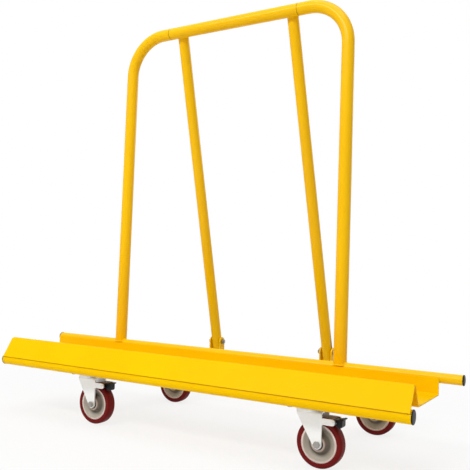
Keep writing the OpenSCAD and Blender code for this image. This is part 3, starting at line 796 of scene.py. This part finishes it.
def saddle(offset, radius, seat):
    """How far above a rail's axis a coped tube starts, at an offset across the rail."""
    return max(seat, math.sqrt(max(0, radius * radius - offset * offset)))


def make_upright(name, side):
    rise = arch_direction()
    up = rise.normalized()
    back = up.cross(ACROSS)
    foot = Vector((MID_X + side * LEG_OUT, REAR_RAIL.y, REAR_RAIL.z))
    bm = bmesh.new()
    ring = start_ring(bm, foot, up, ARCH_R)
    for v in ring_verts(ring):
        v.co += up * saddle((v.co - foot).dot(back), RAIL_R + WELD_GAP, UPRIGHT_SEAT)
    ring = run_on(bm, ring, Vector())
    for v in ring_verts(ring):
        v.co += up * (rise.length - ARCH_BEND_R - (v.co - foot).dot(up))
    inwards = ACROSS * -side
    centre = foot + inwards * ARCH_BEND_R + up * (rise.length - ARCH_BEND_R)
    ring = bend_on(bm, ring, centre, up.cross(inwards), math.radians(90))
    run_on(bm, ring, inwards * (LEG_OUT - ARCH_BEND_R - JOINT_OUT))
    finish_tube(name + "_tube", bm, name, ARCH_SHADED_PAINT)


def strut_line(side):
    foot = Vector((MID_X + side * STRUT_FOOT_OUT, STRUT_FOOT.y, STRUT_FOOT.z))
    top = Vector((MID_X + side * STRUT_TOP_OUT, TOP_BAR.y + STRUT_SETBACK, TOP_BAR.z))
    return foot, top


def strut_end(spot, along, reach):
    """How far spot runs along the strut before it meets the top bar or the strut's end."""
    away = Vector((spot.y - TOP_BAR.y, spot.z - TOP_BAR.z))
    ahead = Vector((along.y, along.z))
    toward = away.dot(ahead)
    gap = toward * toward - ahead.length_squared * (away.length_squared - (ARCH_R + WELD_GAP) ** 2)
    return reach if gap < 0 else min(reach, (-toward - math.sqrt(gap)) / ahead.length_squared)


def make_strut(name, side):
    """A tube with a flat closed top, coped where it meets the bar."""
    foot, top = strut_line(side)
    along = (top - foot).normalized()
    tail = foot - along * STRUT_TAIL
    reach = (top - tail).length
    bm = bmesh.new()
    ends = ring_verts(run_on(bm, start_ring(bm, tail, along, STRUT_R), Vector()))
    for v in ends:
        v.co += along * strut_end(v.co, along, reach)
    flat = [v for v in ends if (v.co - tail).dot(along) > reach - SAME_SPOT]
    bmesh.ops.contextual_create(bm, geom=flat)
    finish_tube(name + "_tube", bm, name, ARCH_SHADED_PAINT)


# The end caps


def make_caps(node, tube_radius):
    """A flange, a low dome with one moulded ring, and a plug, at both ends of a rail."""
    low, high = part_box(node)
    at = (low + high) / 2
    flange_r = min(extent(node).y, extent(node).z) / 2 - BOX_MARGIN
    plug_r = tube_radius - TUBE_WALL - WELD_GAP
    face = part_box(node.replace("_caps", ""))[1].x
    dome_h = high.x - face - CAP_FLANGE_T
    plug = [(-CAP_PLUG, 0), (-CAP_PLUG, plug_r), (0, plug_r)]
    shape = plug + [(0, flange_r), (CAP_FLANGE_T, flange_r)]
    for k in range(1, CAP_DOME_STEPS + 1):
        angle = math.radians(90 * k / CAP_DOME_STEPS)
        dip = CAP_RING_DIP if k == CAP_RING_STEP else 0
        shape.append((CAP_FLANGE_T + dome_h * math.sin(angle) - dip, flange_r * math.cos(angle)))
    bm = bmesh.new()
    spun(bm, [(face + x, at.y, at.z + r) for x, r in shape], at, ACROSS, CAP_SIDES)
    centre = Vector((face + CAP_FLANGE_T, at.y, at.z))
    rounded(bm, hoops_at(bm, centre, ACROSS, flange_r, 0), CAP_EDGE_R)
    other = bmesh.ops.duplicate(bm, geom=bm.verts[:] + bm.edges[:] + bm.faces[:])["geom"]
    about = Matrix.Translation(-at)
    bmesh.ops.scale(bm, vec=(-1, 1, 1), space=about, verts=verts_in(other))
    made = add_piece(node + "_moulded", bm, "black_plastic", stands_for=[node])
    held = made.data.attributes.new("to_edge", "FLOAT", "POINT")
    for v, item in zip(made.data.vertices, held.data):
        item.value = math.hypot(v.co.y - at.y, v.co.z - at.z) / flange_r


# The wheels


def note_axle_distance(piece, centre):
    """Keeps each point's distance from the axle, for the wheel's finishes."""
    held = piece.data.attributes.new("from_axle", "FLOAT", "POINT")
    for v, item in zip(piece.data.vertices, held.data):
        item.value = math.hypot(v.co.x - centre.x, v.co.z - centre.z)


def make_tread(corner):
    node = "tread_" + corner
    at = middle(node)
    half = extent(node).y / 2
    out_r = min(extent(node).x, extent(node).z) / 2 - BOX_MARGIN
    core_r = extent("core_" + corner).z / 2
    edge_r = out_r - TREAD_CROWN
    shape = [(-half, core_r), (-half, edge_r), (0, out_r), (half, edge_r), (half, core_r)]
    shape.append(shape[0])
    bm = bmesh.new()
    axis = Vector((0, 1, 0))
    spun(bm, [(at.x, at.y + y, at.z + r) for y, r in shape], at, axis, WHEEL_SIDES)
    shoulders = hoops_at(bm, at, axis, edge_r, half)
    rounded(bm, shoulders, TREAD_SHOULDER_R, TREAD_SHOULDER_STEPS)
    rounded(bm, hoops_at(bm, at, axis, core_r, half), WHEEL_EDGE_R, EASE_STEPS)
    made = add_piece(node + "_cast", bm, "maroon_tread", "wheel_" + corner, [node])
    note_axle_distance(made, at)


def dish_half(r, rim_in_r):
    """Half thickness of the core at radius r, dished between the hub and the rim."""
    mid = (HUB_R + rim_in_r) / 2
    edge = HUB_HALF if r < mid else RIM_HALF
    return WEB_HALF + (edge - WEB_HALF) * ((r - mid) / (mid - HUB_R)) ** 2


def make_core(corner):
    node = "core_" + corner
    at = middle(node)
    core_r = extent(node).z / 2
    rim_in_r = core_r - RIM_T
    radii = [HUB_R + (rim_in_r - HUB_R) * k / DISH_STEPS for k in range(DISH_STEPS + 1)]
    dish = [(r, dish_half(r, rim_in_r)) for r in radii]
    near = [(HUB_BORE_R, HUB_HALF)] + dish + [(core_r, RIM_HALF)]
    shape = near + [(r, -y) for r, y in reversed(near)] + near[:1]
    bm = bmesh.new()
    axis = Vector((0, 1, 0))
    spun(bm, [(at.x, at.y + y, at.z + r) for r, y in shape], at, axis, WHEEL_SIDES)
    for radius, along in ((HUB_BORE_R, HUB_HALF), (HUB_R, HUB_HALF), (rim_in_r, RIM_HALF)):
        rounded(bm, hoops_at(bm, at, axis, radius, along), WHEEL_EDGE_R)
    made = add_piece(node + "_moulded", bm, "wheel_core", "wheel_" + corner, [node])
    note_axle_distance(made, at)


# The pedals


def make_pedal_ribs(corner):
    lay = Matrix.Translation(middle("pedal_pin_" + corner)) @ Matrix.Rotation(-TONGUE_TILT, 4, "Y")
    rib = Matrix.Diagonal((RIB_W, TONGUE_W - RIB_MARGIN, RIB_H * 2, 1))
    bm = bmesh.new()
    for k in range(RIB_COUNT):
        at = Vector((PEDAL_LEN - RIB_MARGIN - RIB_PITCH * k, 0, TONGUE_T))
        bmesh.ops.create_cube(bm, size=1, matrix=lay @ (Matrix.Translation(at) @ rib))
    rounded(bm, bm.edges[:], RIB_H / 3, EASE_STEPS)
    add_piece("pedal_ribs_" + corner, bm, "black_pedal", "pedal_" + corner)


# The weld beads


def evenly(path, closed):
    """The same path with a point about every BEAD_STEP."""
    ends = path[1:] + path[:1] if closed else path[1:]
    points = []
    for first, last in zip(path, ends):
        count = max(1, round((last - first).length / BEAD_STEP))
        points += [first.lerp(last, k / count) for k in range(count)]
    return points if closed else points + path[-1:]


def lay_bead(curve, path, closed=False):
    points = evenly(path, closed)
    spline = curve.splines.new("POLY")
    spline.points.add(len(points) - 1)
    spline.use_cyclic_u = closed
    for k, (item, at) in enumerate(zip(spline.points, points)):
        item.co = (*at, 1)
        item.radius = 1 + BEAD_RIPPLE * math.sin(math.tau * k * BEAD_STEP / BEAD_WAVE)


def upright_foot_path(side):
    up = arch_direction().normalized()
    back = up.cross(ACROSS)
    foot = Vector((MID_X + side * LEG_OUT, REAR_RAIL.y, REAR_RAIL.z))
    path = []
    for k in range(TUBE_SIDES):
        turn = math.tau * k / TUBE_SIDES
        offset = ARCH_R * math.sin(turn)
        rise = saddle(offset, RAIL_R, UPRIGHT_SEAT)
        path.append(foot + ACROSS * ARCH_R * math.cos(turn) + back * offset + up * rise)
    return path


def strut_top_path(side):
    foot, top = strut_line(side)
    along = (top - foot).normalized()
    back = along.cross(ACROSS).normalized()
    out = back.cross(along)
    path = []
    for k in range(TUBE_SIDES):
        turn = math.tau * k / TUBE_SIDES
        spot = foot + (out * math.cos(turn) + back * math.sin(turn)) * STRUT_R
        path.append(spot + along * strut_end(spot, along, (top - foot).length))
    return path


def on_rail(rail, radius, x, angle):
    """The spot on a rail's skin at x, at an angle in degrees from its top towards the back."""
    turn = math.radians(angle)
    return Vector((x, rail.y + radius * math.sin(turn), rail.z + radius * math.cos(turn)))


def round_rail_path(rail, radius, x, first, last):
    steps = range(RAIL_BEAD_STEPS + 1)
    angles = [first + (last - first) * k / RAIL_BEAD_STEPS for k in steps]
    return [on_rail(rail, radius, x, angle) for angle in angles]


def make_welds():
    curve = bpy.data.curves.new("weld_beads", "CURVE")
    curve.dimensions = "3D"
    curve.bevel_depth = BEAD_R
    curve.bevel_resolution = BEAD_SIDE_STEPS
    curve.use_fill_caps = True
    for side in (-1, 1):
        lay_bead(curve, upright_foot_path(side), closed=True)
        lay_bead(curve, strut_top_path(side), closed=True)
        for edge in (-1, 1):
            x = MID_X + side * BEAM_OUT + edge * BEAM_HALF
            lay_bead(curve, round_rail_path(BASE_RAIL, TUBE_R, x, *BASE_RAIL_BEAD))
            lay_bead(curve, round_rail_path(FRONT_RAIL, TUBE_R, x, *FRONT_RAIL_BEAD))
        lay_bracket_beads(curve, side)
        lay_post_beads(curve, side)
        lay_pad_beads(curve, side)
    lay_wall_stitches(curve)
    shaped = bpy.data.objects.new("weld_curve", curve)
    scene.collection.objects.link(shaped)
    bpy.context.view_layer.update()
    mesh = bpy.data.meshes.new_from_object(shaped)
    bm = bmesh.new()
    bm.from_mesh(mesh)
    bpy.data.objects.remove(shaped)
    bpy.data.meshes.remove(mesh)
    add_piece("weld_beads", bm, "yellow_paint")


def lay_bracket_beads(curve, side):
    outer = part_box("strut_brackets")[1].x - MID_X
    inner = 2 * STRUT_FOOT_OUT - outer
    for out in (outer, inner):
        lay_bead(curve, round_rail_path(BASE_RAIL, TUBE_R, MID_X + side * out, *BRACKET_BEAD))


def lay_post_beads(curve, side):
    low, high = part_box("rail_posts")
    width = high.y - low.y
    x = MID_X + side * (high.x - width / 2 - MID_X)
    corners = [(-1, -1), (1, -1), (1, 1), (-1, 1)]
    centre = Vector((x, (low.y + high.y) / 2, low.z))
    square = [centre + Vector((i, j, 0)) * width / 2 for i, j in corners]
    lay_bead(curve, square, closed=True)
    for edge in (-1, 1):
        lay_bead(curve, round_rail_path(REAR_RAIL, RAIL_R, x + edge * width / 2, *POST_BEAD))


def lay_pad_beads(curve, side):
    for plate in ("top_plate_front_left", "top_plate_rear_left"):
        at = middle(plate)
        half = extent(plate).y * PAD_BEAD_SHARE
        for edge in (-1, 1):
            x = MID_X + side * BEAM_OUT + edge * BEAM_HALF
            lay_bead(curve, [Vector((x, y, BEAM_FOOT)) for y in (at.y - half, at.y + half)])


def lay_wall_stitches(curve):
    """Short welds under the rear rail, where the wall lies against it."""
    span = extent("tray").x - 2 * STITCH_MARGIN
    for k in range(STITCH_COUNT):
        x = MID_X + span * (k / (STITCH_COUNT - 1) - 0.5)
        ends = (x - STITCH_LEN / 2, x + STITCH_LEN / 2)
        lay_bead(curve, [on_rail(REAR_RAIL, RAIL_R, end, STITCH_ANGLE) for end in ends])


# The frame's own nodes


def node_finish(row):
    # Bolts get a darker steel as painted shade, and the bearings a near-black steel as painted
    # shadow
    if row["node"].startswith(BOLT_NODES):
        return BOLT_SHADE_STEEL
    if row["node"].startswith(SHADOWED_NODES):
        return SEAL_SHADOW_STEEL
    return FINISHES[row["material_slot"]]


def dress_nodes():
    """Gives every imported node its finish, and eased edges to those that stay in sight."""
    for row in frame["record"]["subparts"]:
        node = frame["nodes"][row["node"]]
        node.data.materials.clear()
        node.data.materials.append(node_finish(row))
        if not node.hide_render:
            joined = node.modifiers.new("joined", "WELD")
            joined.merge_threshold = NODE_MERGE
            flat = node.modifiers.new("flat", "DECIMATE")
            flat.decimate_type = "DISSOLVE"
            flat.angle_limit = NODE_FLAT_ANGLE
            ease_edges(node, NODE_EDGE_R)


# The stage


def make_floor():
    bm = bmesh.new()
    bmesh.ops.create_grid(bm, x_segments=1, y_segments=1, size=FLOOR_HALF)
    mesh = bpy.data.meshes.new("floor")
    bm.to_mesh(mesh)
    bm.free()
    made = bpy.data.objects.new("floor", mesh)
    scene.collection.objects.link(made)
    mesh.materials.append(floor_finish())


def seen_directly(start):
    """1 for what the camera, a reflection or glass shows, and 0 for light that bounces."""
    path = [start.node("ShaderNodeLightPath", out=ray + " Ray") for ray in RAYS]
    any_ray = path[0] + path[1] + path[2]
    return start.math("MINIMUM", any_ray, 1.0)


def floor_finish():
    """Pale floor that keeps the shadow near the cart and fades into the white backdrop."""
    even = {"Base Color": FLOOR_GREY, "Roughness": FLOOR_ROUGHNESS}
    made, shader, start = new_finish("pale_floor", even)
    place = start.node("ShaderNodeTexCoord", out="Object")
    far = start.node("ShaderNodeVectorMath", {"operation": "LENGTH"}, {0: place}, out="Value")
    fade = between(far, FLOOR_WHITE_FROM, FLOOR_WHITE_TO)
    lift = seen_directly(start) * (FLOOR_WHITE_NEAR + fade * (1 - FLOOR_WHITE_NEAR))
    white = start.node("ShaderNodeEmission", values={"Color": WHITE, "Strength": 1.0})
    shown = Shade(made.node_tree, shader.outputs[0])
    mixed = start.node("ShaderNodeMixShader", values={0: lift, 1: shown, 2: white})
    surface = made.node_tree.nodes["Material Output"].inputs["Surface"]
    made.node_tree.links.new(mixed.socket, surface)
    return made


def light_world():
    world = bpy.data.worlds.new("studio")
    scene.world = world
    world.use_nodes = True
    start = Shade(world.node_tree)
    soft = start.node("ShaderNodeBackground", values={"Color": WHITE, "Strength": WORLD_LIGHT})
    white = start.node("ShaderNodeBackground", values={"Color": WHITE, "Strength": 1.0})
    mixed = start.node("ShaderNodeMixShader", values={0: seen_directly(start), 1: soft, 2: white})
    surface = world.node_tree.nodes["World Output"].inputs["Surface"]
    world.node_tree.links.new(mixed.socket, surface)


def hang_soft_box(name, at, towards, size, watts):
    lamp = bpy.data.lights.new(name, "AREA")
    lamp.shape = "RECTANGLE"
    lamp.size, lamp.size_y = size
    lamp.energy = watts
    made = bpy.data.objects.new(name, lamp)
    made.location = at
    made.rotation_euler = (Vector(towards) - Vector(at)).to_track_quat("-Z", "Y").to_euler()
    scene.collection.objects.link(made)


def set_camera():
    lens = bpy.data.cameras.new("camera")
    lens.lens = CAMERA_LENS
    made = bpy.data.objects.new("camera", lens)
    made.location = CAMERA_AT
    tip = Matrix.Rotation(math.radians(90) + CAMERA_PITCH, 3, "X")
    turn = Matrix.Rotation(CAMERA_YAW, 3, "Z") @ tip @ Matrix.Rotation(CAMERA_ROLL, 3, "Z")
    made.rotation_euler = turn.to_euler()
    scene.collection.objects.link(made)
    scene.camera = made


make_tray()
make_straight_tube("front_rail", RAIL_PAINT)
make_straight_tube("rear_rail", FINISHES["yellow_paint"])
make_straight_tube("base_rail", FINISHES["yellow_paint"])
make_straight_tube("top_bar", ARCH_SHADED_PAINT)
for side_name, side_sign in (("left", -1), ("right", 1)):
    make_upright(side_name + "_upright", side_sign)
    make_strut(side_name + "_strut", side_sign)
make_caps("front_rail_caps", TUBE_R)
make_caps("rear_rail_caps", RAIL_R)
make_caps("base_rail_caps", TUBE_R)
for wheel_corner in CORNERS:
    make_tread(wheel_corner)
    make_core(wheel_corner)
    make_pedal_ribs(wheel_corner)
make_welds()
dress_nodes()
make_floor()
light_world()
for soft_box in SOFT_BOXES:
    hang_soft_box(*soft_box)
set_camera()

bpy.context.view_layer.update()
